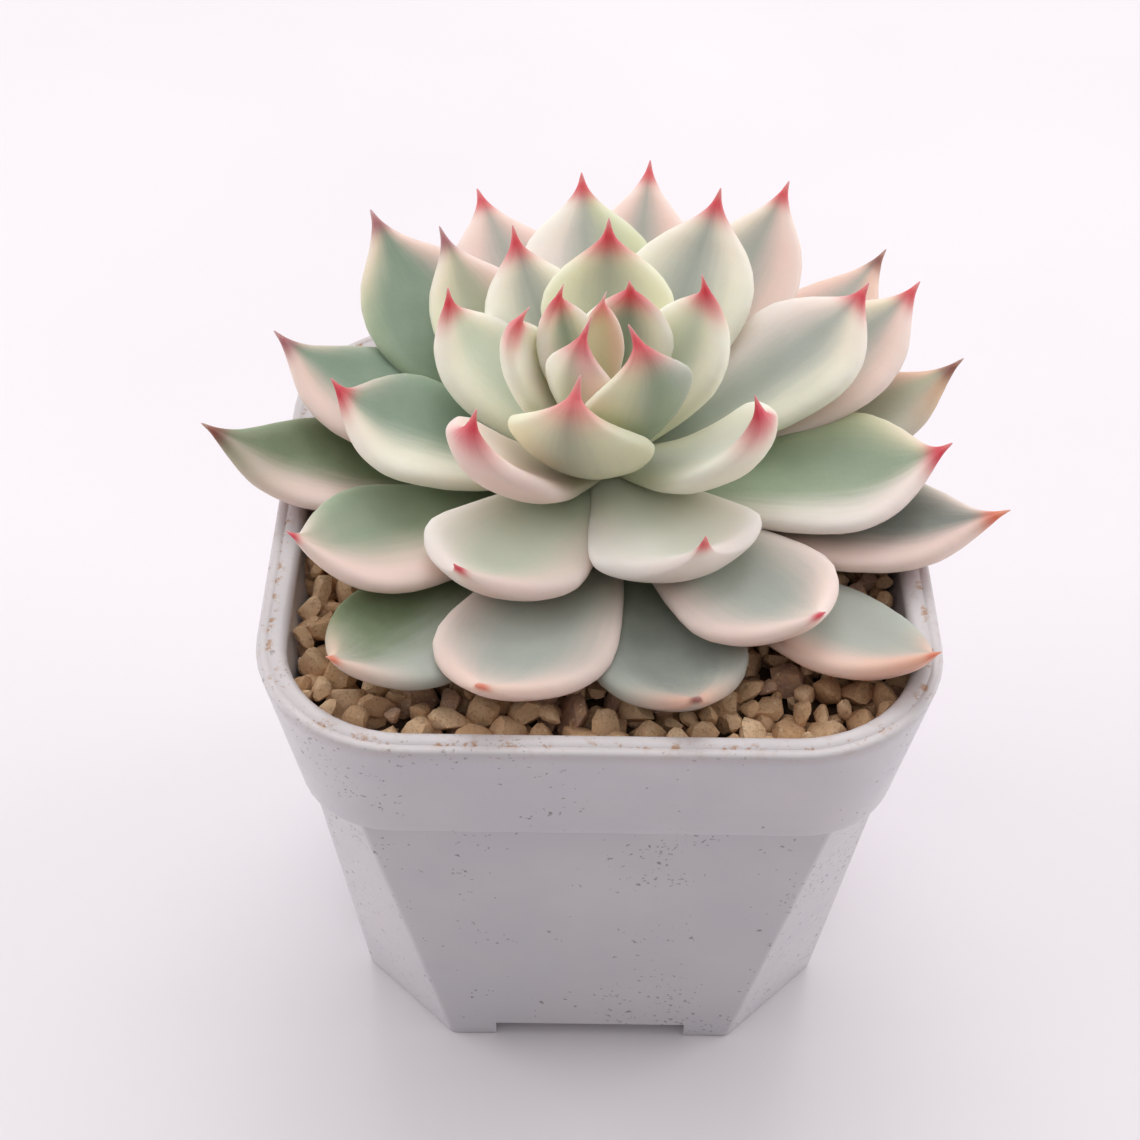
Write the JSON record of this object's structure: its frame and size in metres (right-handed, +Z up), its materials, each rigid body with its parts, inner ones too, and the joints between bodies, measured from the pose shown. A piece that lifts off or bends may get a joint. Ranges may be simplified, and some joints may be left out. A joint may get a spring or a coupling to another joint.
{
  "type": "potted succulent",
  "caption": "Variegated rosette succulent with pink-tipped leaves, growing through a gravel top dressing in a square white plastic nursery pot with a deep collar and notched foot.",
  "frame": {"origin": "on the surface the pot stands on, under the middle of the whole object's bounding box; the pot's own axis is 1.0 mm towards -X and 8.2 mm towards -Y from it, because the rosette leans back over the pot", "axes": "+Z up, -Y the front, +X to the right seen from the front; the pot's four flat walls face +X, -X, +Y and -Y"},
  "size_m": [0.1044, 0.1014, 0.1022],
  "materials": {
    "pot_plastic": "satin, slightly translucent white",
    "soil": "crumbly, matte",
    "gravel_stone": "rough, dry, matte",
    "stem_flesh": "matte, fleshy",
    "leaf_flesh": "powdery matte bloom over smooth flesh"
  },
  "bodies": {
    "root": {"pot": "pot_plastic", "potting_soil": "soil", "gravel_top_dressing": "gravel_stone", "stem": "stem_flesh", "leaf_01": "leaf_flesh", "leaf_02": "leaf_flesh", "leaf_03": "leaf_flesh", "leaf_04": "leaf_flesh", "leaf_05": "leaf_flesh", "leaf_06": "leaf_flesh", "leaf_07": "leaf_flesh", "leaf_08": "leaf_flesh", "leaf_09": "leaf_flesh", "leaf_10": "leaf_flesh", "leaf_11": "leaf_flesh", "leaf_12": "leaf_flesh", "leaf_13": "leaf_flesh", "leaf_14": "leaf_flesh", "leaf_15": "leaf_flesh", "leaf_16": "leaf_flesh", "leaf_17": "leaf_flesh", "leaf_18": "leaf_flesh", "leaf_19": "leaf_flesh", "leaf_20": "leaf_flesh", "leaf_21": "leaf_flesh", "leaf_22": "leaf_flesh", "leaf_23": "leaf_flesh", "leaf_24": "leaf_flesh", "leaf_25": "leaf_flesh", "leaf_26": "leaf_flesh", "leaf_27": "leaf_flesh", "leaf_28": "leaf_flesh", "leaf_29": "leaf_flesh", "leaf_30": "leaf_flesh", "leaf_31": "leaf_flesh", "leaf_32": "leaf_flesh", "leaf_33": "leaf_flesh", "leaf_34": "leaf_flesh", "leaf_35": "leaf_flesh", "leaf_36": "leaf_flesh", "leaf_37": "leaf_flesh", "leaf_38": "leaf_flesh", "leaf_39": "leaf_flesh"}
  },
  "joints": []
}
